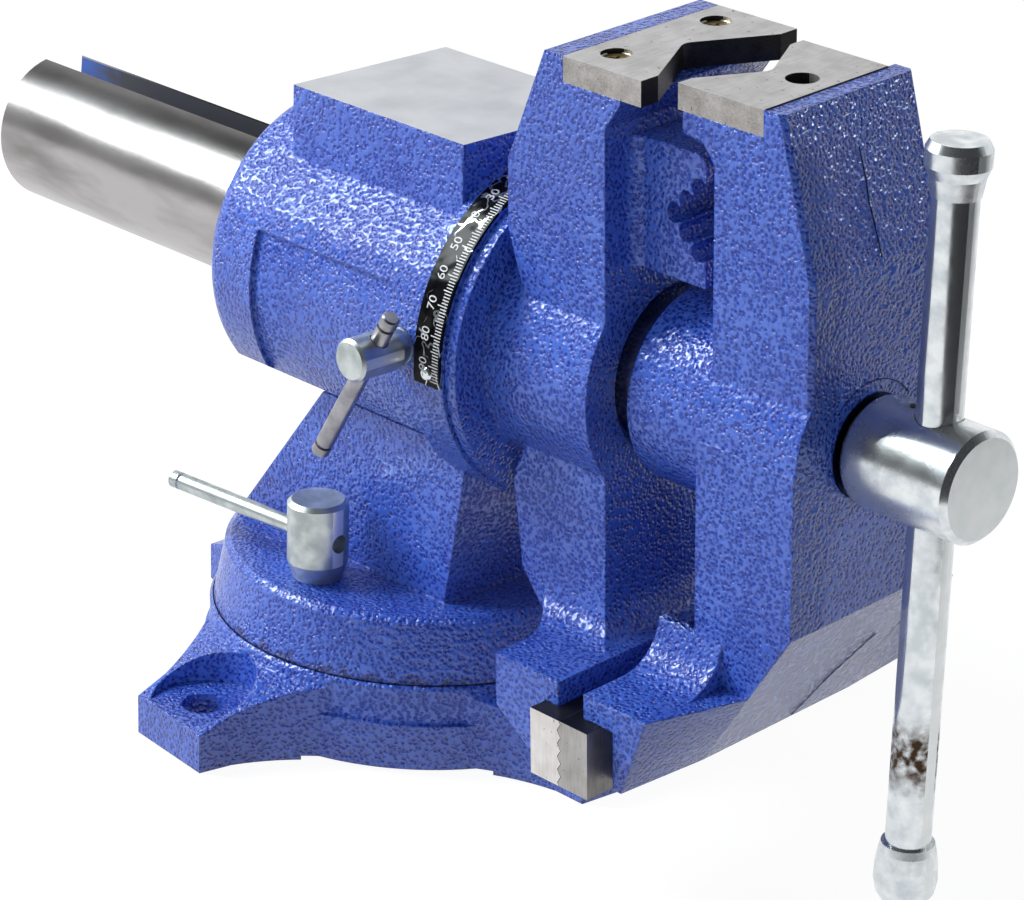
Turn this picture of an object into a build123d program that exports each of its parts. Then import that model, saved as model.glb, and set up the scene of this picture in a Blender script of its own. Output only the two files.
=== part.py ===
from build123d import *
import os
from math import cos, radians, sin, sqrt

# Swivel bench vise with a rolling head, in millimetres.
# +X runs along the vise axis from the housing towards the handle, +Z is up, and the origin is
# on the bench, on the axis that the turntable swivels about.

# Whole vise
axis_height = 123.6
head_turn = 3.0
base_turn = -5.7
jaw_opening = 120.0

# Clearances
running_fit = 0.05
thread_fit = 0.05
drill_clearance = 0.2
face_gap = 0.2

# Base plate
base_height = 25.8
base_radius = 64.0
base_step_radius = 65.5
base_step_height = 14.5
base_edge = 0.8
ear_count = 4
ear_tip_margin = 11.7
ear_half_width = 15.5
ear_shoulder_back = 10.1
ear_shoulder_half_width = 16.5
ear_waist_reach = 70.4
ear_waist_half_width = 20.7
ear_root_angle = 28.4
ear_thickness = 12.0
ear_crest_height = 22.5
bolt_circle = 158.8
bolt_hole_radius = 6.0
spot_face_radius = 15.0
foot_relief = 1.2
foot_relief_radius = 68.0
recess_radius = 27.5
recess_depth = 14.0

# Turntable
flange_radius = 62.9
flange_top_radius = 59.2
flange_height = 18.35
flange_edge = 1.5
spigot_radius = 20.0
pedestal_half_width = 30.0
pedestal_foot_rear = -50.0
pedestal_foot_front = 37.9
pedestal_top_rear = -17.0
pedestal_top_front = 45.1
pedestal_reach = 12.0
pedestal_inside = 31.5
housing_rear = -48.5
housing_front = 53.7
housing_radius = 47.8
housing_rear_taper = 2.6
housing_rear_round = 7.0
housing_step_x = -25.0
housing_step = 1.6
anvil_rise = 7.2
anvil_rear = -28.6
anvil_front = 40.3
anvil_half_width = 28.7
shoulder_depth = 3.1
shoulder_angle = 39.8
panel_front = 30.6
panel_depth = 1.4
panel_start_angle = 69.0
panel_end_angle = 150.0
underside_depth = 5.8
underside_angle = 149.0

# Centre pivot
pivot_bolt_radius = 6.0
pivot_bolt_hold = 26.0
pivot_head_across = 19.0
pivot_head_height = 7.5
pivot_washer_radius = 26.0
pivot_washer_thickness = 3.0

# Base lock screws and their nuts in the ring groove
lock_circle_radius = 44.2
base_lock_x = 0.7
base_lock_shank_radius = 6.0
base_lock_head_radius = 8.7
base_lock_head_height = 23.6
base_lock_bar_height = 12.1
base_lock_bar_angle = 184.8
base_lock_bar_reach = 58.3
base_lock_bar_inside = 3.0
groove_lip = 7.0
lock_nut_width = 18.0
lock_nut_thickness = 8.0
groove_clearance = 0.6
groove_side_clearance = 2.0
groove_floor_clearance = 2.6
nut_entry_radius = 13.5
tommy_radius = 2.5
tommy_neck_radius = 1.9
tommy_neck_length = 1.0
tommy_cap_length = 3.2

# Head lock screw
head_lock_x = 37.5
head_lock_z = 2.0
head_lock_shank_radius = 5.0
head_lock_head_radius = 6.0
head_lock_head_length = 18.0
head_lock_bar_out = 10.0
head_lock_bar_angle = -120.7
head_lock_bar_reach = 40.3
head_lock_bar_back = 14.8
shoe_radius = 4.8
shoe_thickness = 3.0

# Angle scale
scale_width = 9.9
scale_thickness = 0.8
scale_end_angle = 97.0
rivet_angle = 93.0
rivet_radius = 1.9
rivet_shank_radius = 1.2
rivet_length = 4.0

# Head casting
barrel_radius = 33.0
disc_step = 1.1
disc_thickness = 3.9
jaw_half_width = 28.7
static_web_setback = 16.45
jaw_top = 91.7
bulge_radius = 36.0
crown_back = 6.7
crown_foot_back = 2.5
crown_foot_height = 58.7
neck_back = 2.4
neck_height = 39.0
hollow_back = 7.5
hollow_top = 23.9
hollow_bottom = -22.0
waist_back = 3.1
waist_height = -33.0
hip_back = 5.7
hip_height = -52.0
heel_back = 6.3
heel_height = -58.6
heel_foot_back = 13.4
heel_foot_height = -82.8
lip_reach = 5.4
lip_root_height = 75.8
lip_height = 83.4
beam_near_end = -57.0
beam_far_end = 64.0
beam_top = -67.7
beam_bottom = -91.8
beam_fillet = 10.0
beam_flare = 16.0
beam_foot_setback = 0.7
flare_middle_along = 0.53
flare_middle_out = 0.375
static_beam_root_gap = 0.94
static_beam_flare_length = 11.0
static_beam_front_setback = 5.55
bore_chamfer = 2.4
key_width = 13.6
key_top_radius = 27.0
key_turn = -8.3

# Pipe notch in the head casting
pipe_block_half_width = 17.6
pipe_block_reach = 25.0
pipe_block_bottom = 36.0
pipe_block_top = 72.0
notch_depth = 11.0
notch_height = 54.0
lobe_radius = 2.7
lobe_pitch = 6.1
lobes_per_side = 2
block_nose_radius = 4.0
block_root_radius = 4.0

# Retaining ring
ring_seat_radius = 38.1
ring_seat_depth = 8.0
ring_thickness = 7.0
ring_side_clearance = 0.4
ring_screw_count = 4
ring_screw_circle_radius = 29.6
ring_screw_radius = 2.5
ring_screw_head_radius = 4.25
ring_screw_head_height = 5.0
ring_screw_hold = 12.0

# Steel inserts on top
insert_thickness = 7.0
insert_gap = 7.3
static_insert_length = 27.8
moving_insert_length = 29.0
moving_insert_half_width = 23.0
static_notch_half_width = 22.6
moving_notch_half_width = 18.2
notch_round = 4.0
insert_screw_radius = 2.5
insert_hole_radius = 4.2
insert_screw_head_radius = 3.7
insert_screw_head_depth = 2.4
insert_screw_sink = 1.3
insert_screw_length = 16.0
static_screw_back = 8.4
static_screw_spread = 18.3
static_screw_shift = 0.45
moving_screw_back = 9.2
moving_screw_shift = 1.0
moving_hole_radius = 4.35
moving_screw_head_height = 3.0
moving_seat_floor = 1.5
socket_half = 2.5
socket_depth = 2.2

# Serrated plates
plate_meeting = 112.45
plate_thickness = 10.55
plate_height = 19.5
plate_top = -74.8
plate_half_length = 62.5
tooth_count = 5
tooth_depth = 1.2
plate_screw_spread = 38.0
plate_screw_radius = 3.0
plate_screw_head_radius = 5.6
plate_screw_head_depth = 3.4
plate_screw_sink = 2.2
plate_screw_length = 16.0

# Moving jaw
column_forward = 50.05
column_depth = 33.6
column_near_half_width = 23.0
column_far_half_width = 25.4
column_slope_start = 50.0
column_top_forward = 39.05
column_chamfer = 1.2
boss_setback = 9.25
boss_radius = 27.9
chin_height = -46.0
moving_beam_setoff = 3.75
moving_beam_forward = 26.35
moving_beam_root_forward = 35.85
moving_foot_end_forward = 17.55
moving_foot_forward = 20.05
nose_forward = 5.35
nose_height = 79.0
nose_underside_back = 3.8
nose_underside_height = 77.7
nose_root_height = 73.0
moving_fillet = 14.0
end_relief = 4.0

# Slide tube
slide_radius = 22.7
slide_rise = 1.4
slide_wall = 5.0
slide_slot_width = 14.0
slide_wall_depth = 12.0
rear_margin = 4.1

# Main screw, nut and collar
screw_radius = 10.0
screw_head_radius = 15.1
screw_head_length = 36.9
screw_head_gap = 0.4
screw_head_bevel = 1.6
screw_head_rear_round = 5.0
screw_head_wall = 4.0
screw_spare = 10.0
nut_rear = 18.0
nut_length = 40.0
nut_screw_radius = 3.0
nut_screw_head_radius = 6.0
nut_screw_head_depth = 3.2
nut_screw_depth = 14.5
washer_radius = 14.0
washer_thickness = 2.0
collar_length = 10.0
collar_pin_radius = 2.0
head_pin_radius = 1.6
head_pin_length = 12.0
head_pin_wall = 0.6
head_pin_sink = 1.2

# Handle
handle_setback = 15.5
handle_radius = 6.1
handle_top = 87.3
handle_bottom = -122.5
knob_radius = 8.5
top_knob_length = 14.3
bottom_knob_length = 17.9
knob_spigot_radius = 4.0
knob_spigot_length = 9.0

# Places worked out from the sizes above
ear_reach = bolt_circle / 2 + ear_tip_margin
flange_bottom = base_height + face_gap
flange_top = flange_bottom + flange_height
column_front = plate_meeting + column_forward
column_top_front = plate_meeting + column_top_forward
column_inner = column_front - column_depth
disc_rear = housing_front + face_gap
disc_front = disc_rear + disc_thickness
static_front = plate_meeting - static_web_setback
heel_rear = disc_front + heel_back
heel_slant = (static_front - heel_foot_back - heel_rear) / (heel_foot_height - heel_height)
heel_at_beam_top = heel_rear + heel_slant * (beam_top - heel_height)
static_beam_root = heel_at_beam_top + static_beam_root_gap
static_beam_back = static_beam_root + static_beam_flare_length
static_beam_front = plate_meeting - static_beam_front_setback
boss_rear = plate_meeting - boss_setback
moving_beam_rear = plate_meeting + moving_beam_setoff
moving_beam_front = plate_meeting + moving_beam_forward
moving_beam_root_front = plate_meeting + moving_beam_root_forward
moving_foot_end_front = plate_meeting + moving_foot_end_forward
moving_foot_front = plate_meeting + moving_foot_forward
housing_rear_radius = housing_radius - housing_rear_taper
anvil_height = housing_radius + anvil_rise
shoulder_distance = housing_radius - shoulder_depth
underside_distance = housing_radius - underside_depth
disc_radius = housing_radius - disc_step
seat_level = jaw_top - insert_thickness
static_seat = plate_meeting - plate_thickness
moving_seat = plate_meeting + plate_thickness
static_insert_front = plate_meeting - insert_gap / 2
moving_insert_rear = plate_meeting + insert_gap / 2
static_insert_rear = static_insert_front - static_insert_length
moving_insert_front = moving_insert_rear + moving_insert_length
barrel_rear = housing_rear + ring_seat_depth - face_gap
slide_rear = housing_rear - jaw_opening - rear_margin
slide_front = column_front - slide_wall_depth
slide_bore_radius = slide_radius - slide_wall
collar_radius = slide_bore_radius - slide_rise - 2 * drill_clearance
screw_rear = nut_rear - jaw_opening - screw_spare
screw_head_rear = column_front + screw_head_gap
screw_head_front = screw_head_rear + screw_head_length
handle_x = screw_head_front - handle_setback
groove_half_width = base_lock_shank_radius + groove_clearance
pocket_half_width = lock_nut_width / 2 + groove_side_clearance
groove_roof = base_height - groove_lip
groove_floor = groove_roof - lock_nut_thickness - groove_floor_clearance
tommy_hole_radius = tommy_radius + drill_clearance


def rod(axis, radius, start, end, a=0.0, b=0.0):
    """Cylinder along a named axis between two places; a and b are its other two coordinates."""
    length = end - start
    middle = (start + end) / 2
    if axis == "x":
        return Pos(middle, a, b) * Rot(0, 90, 0) * Cylinder(radius, length)
    if axis == "y":
        return Pos(a, middle, b) * Rot(90, 0, 0) * Cylinder(radius, length)
    return Pos(a, b, middle) * Cylinder(radius, length)


def block(x, y, z):
    """Box between the pairs of places given for each axis."""
    size = Box(x[1] - x[0], y[1] - y[0], z[1] - z[0])
    return Pos((x[0] + x[1]) / 2, (y[0] + y[1]) / 2, (z[0] + z[1]) / 2) * size


def cove(axis, start, end, a, b, way_a, way_b, reach):
    """Hollow corner filling along X or Z, in the corner at a and b, on the sides that the ways say."""
    middle_a = a + way_a * reach / 2
    middle_b = b + way_b * reach / 2
    square = (-reach / 2, reach / 2)
    if axis == "x":
        corner = Pos(0, middle_a, middle_b) * block((start, end), square, square)
    else:
        corner = Pos(middle_a, middle_b, 0) * block(square, square, (start, end))
    return corner - rod(axis, reach, start, end, a + way_a * reach, b + way_b * reach)


def side_face(points):
    """Flat face in the XZ plane from its corners."""
    return Plane.XZ * make_face(Polyline(*points, close=True))


def side_prism(points, y_near, y_far):
    """Side outline in X and Z, as thick as the two Y places say."""
    return Pos(0, y_far, 0) * extrude(side_face(points), y_far - y_near)


def turned(points, axis):
    """Solid of revolution from corners in X and Z."""
    return revolve(side_face(points), axis=axis)


def on_axis(shape):
    """Lift a piece drawn about the vise axis to its height."""
    return Pos(0, 0, axis_height) * shape


def on_head(shape):
    """The same for a piece of the head, which stands a little rolled."""
    return on_axis(Rot(head_turn, 0, 0) * shape)


def keyed(shape):
    """The key, its slot and its screw stand a little off the head's upright."""
    return Rot(key_turn, 0, 0) * shape


def countersunk(radius, length, head_radius, head_depth):
    """Countersunk screw along Z, its flat top at zero and its shank below."""
    outline = [
        (0, 0),
        (head_radius, 0),
        (head_radius, -0.4),
        (radius, -head_depth),
        (radius, -length),
        (0, -length),
    ]
    return turned(outline, Axis.Z)


def cross_recess(head_radius, depth=2.0):
    """Cross for a screwdriver, to be cut into a screw's top at zero."""
    arm = head_radius * 1.1
    slot = head_radius * 0.26
    across = Box(arm, slot, 2 * depth)
    return across + Rot(0, 0, 90) * across


def tommy_screw(shank_radius, shank_length, head_radius, head_length, bar_height):
    """Lock screw along Z with its head's underside at zero and a cross hole for the bar."""
    bevel = head_radius * 0.14
    shoulder = head_radius * 0.2
    outline = [
        (0, -shank_length),
        (shank_radius, -shank_length),
        (shank_radius, 0),
        (head_radius - shoulder, 0),
        (head_radius, 3 * shoulder),
        (head_radius, head_length - bevel),
        (head_radius - bevel, head_length),
        (0, head_length),
    ]
    hole = rod("x", tommy_hole_radius, -2 * head_radius, 2 * head_radius, 0, bar_height)
    return turned(outline, Axis.Z) - hole


def tommy_bar(back, reach):
    """Bar along X from -back to reach, with a turned neck near each end."""
    def cap(end, way):
        neck = end - way * tommy_cap_length
        return [
            (end, 0),
            (end, tommy_radius - 0.5),
            (end - way * 0.5, tommy_radius),
            (neck, tommy_radius),
            (neck, tommy_neck_radius),
            (neck - way * tommy_neck_length, tommy_neck_radius),
            (neck - way * tommy_neck_length, tommy_radius),
        ]
    return turned(cap(-back, -1) + cap(reach, 1)[::-1], Axis.X)


def ear_outline():
    """One ear along +X: straight tip, short sides and a hollow flare into the ring."""
    shoulder = (ear_reach - ear_shoulder_back, ear_shoulder_half_width)
    waist = (ear_waist_reach, ear_waist_half_width)
    root = (base_radius * cos(radians(ear_root_angle)), base_radius * sin(radians(ear_root_angle)))
    side = Line((ear_reach, ear_half_width), shoulder)
    flare = ThreePointArc(shoulder, waist, root)
    half = side + flare
    other_half = mirror(half, about=Plane.XZ)
    tip = Line((ear_reach, -ear_half_width), (ear_reach, ear_half_width))
    back = Line(root, (root[0], -root[1]))
    return make_face(half + other_half + tip + back)


def around_ears(shape):
    """Copies of a shape drawn along +X, one at each ear."""
    return [Rot(0, 0, base_turn + 360 / ear_count * n) * shape for n in range(ear_count)]


def make_base_plate():
    outline = Circle(base_radius)
    for ear in around_ears(ear_outline()):
        outline += ear
    plate = extrude(outline, base_height)
    plate += rod("z", base_step_radius, 0, base_step_height)

    slope = (ear_crest_height - ear_thickness) / (ear_reach - base_radius - 1)
    outer = ear_reach + ear_half_width
    outer_height = ear_thickness - slope * ear_half_width
    roof = [
        (0, 0),
        (outer, 0),
        (outer, outer_height),
        (base_radius + 1, ear_crest_height),
        (base_radius, base_height - base_edge),
        (base_radius - base_edge, base_height),
        (0, base_height),
    ]
    plate &= turned(roof, Axis.Z)

    groove = rod("z", lock_circle_radius + groove_half_width, groove_roof, base_height)
    groove -= rod("z", lock_circle_radius - groove_half_width, groove_roof, base_height)
    pocket = rod("z", lock_circle_radius + pocket_half_width, groove_floor, groove_roof)
    pocket -= rod("z", lock_circle_radius - pocket_half_width, groove_floor, groove_roof)
    entry_angle = radians(base_turn + 180 / ear_count)
    entry_x = lock_circle_radius * cos(entry_angle)
    entry_y = lock_circle_radius * sin(entry_angle)
    plate -= groove
    plate -= pocket
    plate -= rod("z", nut_entry_radius, 0, groove_floor + 1, entry_x, entry_y)
    plate -= rod("z", spigot_radius + running_fit, 0, base_height)
    plate -= rod("z", recess_radius, 0, recess_depth)
    plate -= rod("z", foot_relief_radius, 0, foot_relief)

    hole = rod("z", bolt_hole_radius, 0, base_height, bolt_circle / 2)
    spot_face = rod("z", spot_face_radius, ear_thickness, base_height, bolt_circle / 2)
    for cut in around_ears(hole + spot_face):
        plate -= cut
    return plate


def make_pivot_bolt():
    head_top = recess_depth - face_gap - pivot_washer_thickness
    head = extrude(RegularPolygon(pivot_head_across / 2, 6, major_radius=False), pivot_head_height)
    bolt = Pos(0, 0, head_top - pivot_head_height) * head
    return bolt + rod("z", pivot_bolt_radius, head_top, head_top + pivot_washer_thickness + pivot_bolt_hold)


def make_pivot_washer():
    top = recess_depth - face_gap
    washer = rod("z", pivot_washer_radius, top - pivot_washer_thickness, top)
    return washer - rod("z", pivot_bolt_radius + drill_clearance, 0, top)


def make_base_lock_nuts():
    nuts = []
    for side in (-1, 1):
        nut = Box(lock_nut_width, lock_nut_width, lock_nut_thickness)
        nut -= Cylinder(base_lock_shank_radius + thread_fit, lock_nut_thickness)
        height = groove_roof - face_gap - lock_nut_thickness / 2
        nuts.append(Pos(base_lock_x, side * lock_circle_radius, height) * nut)
    return Compound(nuts)


def housing_blank():
    outline = [
        (housing_rear, 0),
        (housing_rear, housing_rear_radius),
        (housing_step_x - 1, housing_radius - housing_step),
        (housing_step_x, housing_radius),
        (housing_front, housing_radius),
        (housing_front, 0),
    ]
    blank = turned(outline, Axis.X)
    rear_edge = blank.edges().sort_by(Axis.X)[0]
    return fillet(rear_edge, housing_rear_round)


def sector(x_from, x_to, inner, outer, start, sweep):
    """Part of a ring about the vise axis; angles count from the top towards -Y."""
    outline = [(x_from, inner), (x_to, inner), (x_to, outer), (x_from, outer)]
    ring = revolve(side_face(outline), axis=Axis.X, revolution_arc=sweep)
    return Rot(start, 0, 0) * ring


def make_swivel_body():
    flange = Pos(0, 0, flange_bottom + flange_height / 2) * Cone(
        flange_radius, flange_top_radius, flange_height
    )
    flange = chamfer(flange.edges().sort_by(Axis.Z)[-1], flange_edge)
    body = flange + rod("z", spigot_radius, recess_depth, flange_bottom)

    housing = housing_blank()
    flank_length = anvil_front - housing_rear
    flank_depth = 8.0
    flank = Pos((anvil_front + housing_rear) / 2, 0, flank_depth / 2) * Box(
        flank_length, housing_radius, flank_depth
    )
    shoulder = Rot(shoulder_angle, 0, 0) * Pos(0, 0, shoulder_distance) * flank
    underside = Rot(underside_angle, 0, 0) * Pos(0, 0, underside_distance) * flank
    panel = sector(
        housing_step_x,
        panel_front,
        housing_radius - panel_depth,
        housing_radius + 1,
        panel_start_angle,
        panel_end_angle - panel_start_angle,
    )
    for cut in (shoulder, underside, panel):
        housing -= cut
        housing -= mirror(cut, about=Plane.XZ)
    housing += block(
        (anvil_rear, anvil_front),
        (-anvil_half_width, anvil_half_width),
        (shoulder_distance / 2, anvil_height),
    )

    inside = axis_height - pedestal_inside
    pedestal_height = axis_height - housing_radius + pedestal_reach - flange_top
    slope_rear = (pedestal_top_rear - pedestal_foot_rear) / pedestal_height
    slope_front = (pedestal_top_front - pedestal_foot_front) / pedestal_height
    root = flange_top - 1
    pedestal = side_prism(
        [
            (pedestal_foot_rear - slope_rear, root),
            (pedestal_foot_front - slope_front, root),
            (pedestal_foot_front + slope_front * (inside - flange_top), inside),
            (pedestal_foot_rear + slope_rear * (inside - flange_top), inside),
        ],
        -pedestal_half_width,
        pedestal_half_width,
    )
    body += on_axis(housing)
    body += pedestal

    body -= on_axis(rod("x", barrel_radius + running_fit, housing_rear, housing_front))
    body -= on_axis(rod("x", ring_seat_radius, housing_rear, housing_rear + ring_seat_depth))
    bolt_end = recess_depth - face_gap + pivot_bolt_hold
    body -= rod("z", pivot_bolt_radius + thread_fit, 0, bolt_end + 1)
    for side in (-1, 1):
        shank_hole = base_lock_shank_radius + drill_clearance
        body -= rod("z", shank_hole, flange_bottom, flange_top, base_lock_x, side * lock_circle_radius)
        rivet_hole = rod("z", rivet_shank_radius + thread_fit, housing_radius - rivet_length - 1, 60, rivet_x())
        body -= on_axis(Rot(side * rivet_angle, 0, 0) * rivet_hole)
    lock_hole = rod("y", head_lock_shank_radius + thread_fit, -housing_radius - 2, -barrel_radius + 2,
                    head_lock_x, head_lock_z)
    body -= on_axis(lock_hole)
    return body


def rivet_x():
    return housing_front - scale_width / 2


def make_angle_scale():
    inner = housing_radius + thread_fit
    strip = sector(
        housing_front - scale_width,
        housing_front,
        inner,
        inner + scale_thickness,
        -scale_end_angle,
        2 * scale_end_angle,
    )
    for side in (-1, 1):
        hole = rod("z", rivet_shank_radius + thread_fit, housing_radius - 1, housing_radius + 3, rivet_x())
        strip -= Rot(side * rivet_angle, 0, 0) * hole
    return on_axis(strip)


def make_scale_rivets():
    seat = housing_radius + thread_fit + scale_thickness
    outline = side_face([(0, seat), (rivet_radius, seat), (rivet_radius * 0.8, seat + 0.6),
                         (rivet_radius * 0.4, seat + 0.9), (0, seat + 1)])
    rivet = revolve(outline, axis=Axis.Z) + rod("z", rivet_shank_radius, housing_radius - rivet_length, seat)
    rivet = Pos(rivet_x(), 0, 0) * rivet
    return Compound([on_axis(Rot(side * rivet_angle, 0, 0) * rivet) for side in (-1, 1)])


def base_lock_place(side):
    height = flange_top + face_gap / 2
    return Pos(base_lock_x, side * lock_circle_radius, height)


def make_base_lock_screw(side):
    shank_length = flange_top - groove_roof + lock_nut_thickness
    screw = tommy_screw(
        base_lock_shank_radius,
        shank_length,
        base_lock_head_radius,
        base_lock_head_height,
        base_lock_bar_height,
    )
    return base_lock_place(side) * Rot(0, 0, side_angle(side)) * screw


def side_angle(side):
    """The near bar points back and a little outward; the far one is its mirror image."""
    return -side * base_lock_bar_angle


def make_base_lock_bar(side):
    bar = Pos(0, 0, base_lock_bar_height) * tommy_bar(base_lock_bar_inside, base_lock_bar_reach)
    return base_lock_place(side) * Rot(0, 0, side_angle(side)) * bar


def head_lock_place():
    """Local +Z of the lock screw points out of the housing, towards -Y."""
    out = housing_radius + face_gap
    return Pos(head_lock_x, -out, axis_height + head_lock_z) * Rot(90, 0, 0)


def make_head_lock_screw():
    shank_length = housing_radius + face_gap - barrel_radius - face_gap - shoe_thickness
    screw = tommy_screw(
        head_lock_shank_radius,
        shank_length,
        head_lock_head_radius,
        head_lock_head_length,
        head_lock_bar_out,
    )
    return head_lock_place() * Rot(0, 0, head_lock_bar_angle) * screw


def make_head_lock_bar():
    bar = Pos(0, 0, head_lock_bar_out) * tommy_bar(head_lock_bar_back, head_lock_bar_reach)
    return head_lock_place() * Rot(0, 0, head_lock_bar_angle) * bar


def make_head_lock_shoe():
    inner = barrel_radius + face_gap
    return on_axis(rod("y", shoe_radius, -inner - shoe_thickness, -inner, head_lock_x, head_lock_z))


def static_jaw_outline():
    return [
        (static_insert_rear, jaw_top),
        (static_insert_rear - crown_back, jaw_top),
        (disc_front + crown_foot_back, crown_foot_height),
        (disc_front + neck_back, neck_height),
        (disc_front + hollow_back, hollow_top),
        (disc_front + hollow_back, hollow_bottom),
        (disc_front + waist_back, waist_height),
        (disc_front + hip_back, hip_height),
        (heel_rear, heel_height),
        (static_front - heel_foot_back, heel_foot_height),
        (static_front - beam_foot_setback, beam_bottom),
        (static_seat, beam_bottom),
        (static_seat, plate_top),
        (static_beam_front, plate_top),
        (static_beam_front, beam_top),
        (static_front, beam_top),
        (static_front, lip_root_height),
        (static_front + lip_reach, lip_height),
        (static_front + lip_reach, seat_level),
        (static_insert_rear, seat_level),
    ]


def static_beam():
    """Lower beam: its plan flares into the jaw at the back, its section has a slanted back."""
    root = jaw_half_width
    flare = jaw_half_width + beam_flare
    bulge = (
        static_beam_root + flare_middle_along * (static_beam_back - static_beam_root),
        root + flare_middle_out * beam_flare,
    )
    plan = Polyline(
        (static_beam_root, -root),
        (static_beam_root, root),
    )
    far_flare = ThreePointArc(
        (static_beam_root, root), bulge, (static_beam_back, flare)
    )
    near_flare = ThreePointArc(
        (static_beam_root, -root), (bulge[0], -bulge[1]), (static_beam_back, -flare)
    )
    ends = Polyline(
        (static_beam_back, flare),
        (static_beam_back, beam_far_end),
        (static_beam_front, beam_far_end),
        (static_beam_front, beam_near_end),
        (static_beam_back, beam_near_end),
        (static_beam_back, -flare),
    )
    height = beam_top - beam_bottom
    beam = Pos(0, 0, beam_bottom) * extrude(make_face(plan + far_flare + ends + near_flare), height)
    section = side_prism(
        [
            (heel_at_beam_top, beam_top),
            (static_front - heel_foot_back, heel_foot_height),
            (static_front - beam_foot_setback, beam_bottom),
            (static_seat, beam_bottom),
            (static_seat, plate_top),
            (static_beam_front, plate_top),
            (static_beam_front, beam_top),
        ],
        beam_near_end,
        beam_far_end,
    )
    return beam & section


def pipe_block():
    front = static_front + pipe_block_reach
    body = block(
        (static_front - 1, front),
        (-pipe_block_half_width, pipe_block_half_width),
        (pipe_block_bottom, pipe_block_top),
    )
    apex = front - notch_depth
    opening = notch_depth + lobe_radius
    wedge = side_prism(
        [(apex, notch_height), (apex + opening, notch_height - opening), (apex + opening, notch_height + opening)],
        -pipe_block_half_width,
        pipe_block_half_width,
    )
    nose = body.edges().filter_by(Axis.Y).group_by(Axis.X)[-1].sort_by(Axis.Z)[-1]
    body = fillet(nose, block_nose_radius)
    body -= wedge
    step = lobe_pitch / sqrt(2)
    for n in range(-lobes_per_side, lobes_per_side + 1):
        body -= rod(
            "y",
            lobe_radius,
            -pipe_block_half_width,
            pipe_block_half_width,
            apex + abs(n) * step,
            notch_height + n * step,
        )
    for side in (-1, 1):
        body += cove("z", pipe_block_bottom, pipe_block_top, static_front, side * pipe_block_half_width, 1, side,
                     block_root_radius)
    return body


def web_roots(jaw):
    """Inner edges where the upright web stands on the lower beam."""
    roots = []
    for edge in jaw.edges().filter_by(GeomType.LINE):
        middle = edge.center()
        on_beam = abs(middle.Z - beam_top) < 0.01
        at_side = abs(abs(middle.Y) - jaw_half_width) < 0.01 and middle.X < static_front
        at_front = abs(middle.X - static_front) < 0.01
        if on_beam and (at_side or at_front):
            roots.append(edge)
    return roots


def make_static_jaw():
    jaw = side_prism(static_jaw_outline(), -jaw_half_width, jaw_half_width)
    jaw += static_beam()
    jaw = fillet(web_roots(jaw), beam_fillet)
    jaw += rod("x", bulge_radius, disc_front - 1, static_front)
    jaw += rod("x", disc_radius, disc_rear, disc_front)
    jaw += rod("x", barrel_radius, barrel_rear, disc_rear + 1)
    jaw += pipe_block()

    jaw -= rod("x", slide_radius + running_fit, barrel_rear, static_front, 0, slide_rise)
    mouth = Pos(0, 0, slide_rise) * turned(
        [
            (static_front, 0),
            (static_front, slide_radius + running_fit + bore_chamfer),
            (static_front - bore_chamfer, slide_radius + running_fit),
            (static_front - bore_chamfer, 0),
        ],
        Axis.X,
    )
    jaw -= mouth
    key_half = key_width / 2 + running_fit
    keyway = block((barrel_rear, nut_rear + nut_length + face_gap), (-key_half, key_half), (0, key_top_radius))
    jaw -= keyed(keyway)
    jaw -= keyed(nut_screw_at(nut_screw_radius + drill_clearance, nut_screw_head_radius + drill_clearance, 6))
    for n in range(ring_screw_count):
        hole = rod("x", ring_screw_radius + thread_fit, barrel_rear, barrel_rear + ring_screw_hold + 1, 0,
                   ring_screw_circle_radius)
        jaw -= Rot(ring_screw_angle(n), 0, 0) * hole
    for side in (-1, 1):
        jaw -= rod(
            "z",
            insert_screw_radius + thread_fit,
            jaw_top - insert_screw_sink - insert_screw_length - 1,
            jaw_top,
            static_insert_rear + static_screw_back,
            side * static_screw_spread + static_screw_shift,
        )
        jaw -= plate_screw_hole(-1, side)
    return on_head(jaw)


def ring_screw_angle(n):
    return 360 / ring_screw_count * (n + 0.5)


def nut_screw_at(radius, head_radius, spare):
    """Screw through the top of the barrel into the nut's key, its head just under the barrel's skin."""
    top = barrel_radius - 1.0
    screw = countersunk(radius, nut_screw_depth, head_radius, nut_screw_head_depth)
    screw += rod("z", head_radius, 0, spare) if spare else Part()
    return Pos(nut_rear + nut_length / 2, 0, top) * screw


def plate_screw_place(way, side):
    """Head of a plate screw: way is -1 in the static jaw and +1 in the moving one."""
    face = plate_meeting + way * plate_screw_sink
    height = plate_top - plate_height / 2
    turn = Rot(0, -90, 0) if way > 0 else Rot(0, 90, 0)
    return Pos(face, side * plate_screw_spread, height) * turn


def plate_screw_hole(way, side):
    return plate_screw_place(way, side) * Pos(0, 0, -plate_screw_length / 2 - 1) * Cylinder(
        plate_screw_radius + thread_fit, plate_screw_length + 2
    )


def make_retaining_ring():
    inner = slide_radius + 2 * drill_clearance
    front = barrel_rear
    ring = rod("x", ring_seat_radius - ring_side_clearance, front - ring_thickness, front)
    ring -= rod("x", inner, front - ring_thickness, front, 0, slide_rise)
    for n in range(ring_screw_count):
        hole = rod("x", ring_screw_radius + drill_clearance, front - ring_thickness, front, 0,
                   ring_screw_circle_radius)
        hole += rod("x", ring_screw_head_radius + drill_clearance, front - ring_thickness,
                    front - ring_thickness + ring_screw_head_height, 0, ring_screw_circle_radius)
        ring -= Rot(ring_screw_angle(n), 0, 0) * hole
    return on_head(ring)


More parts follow.
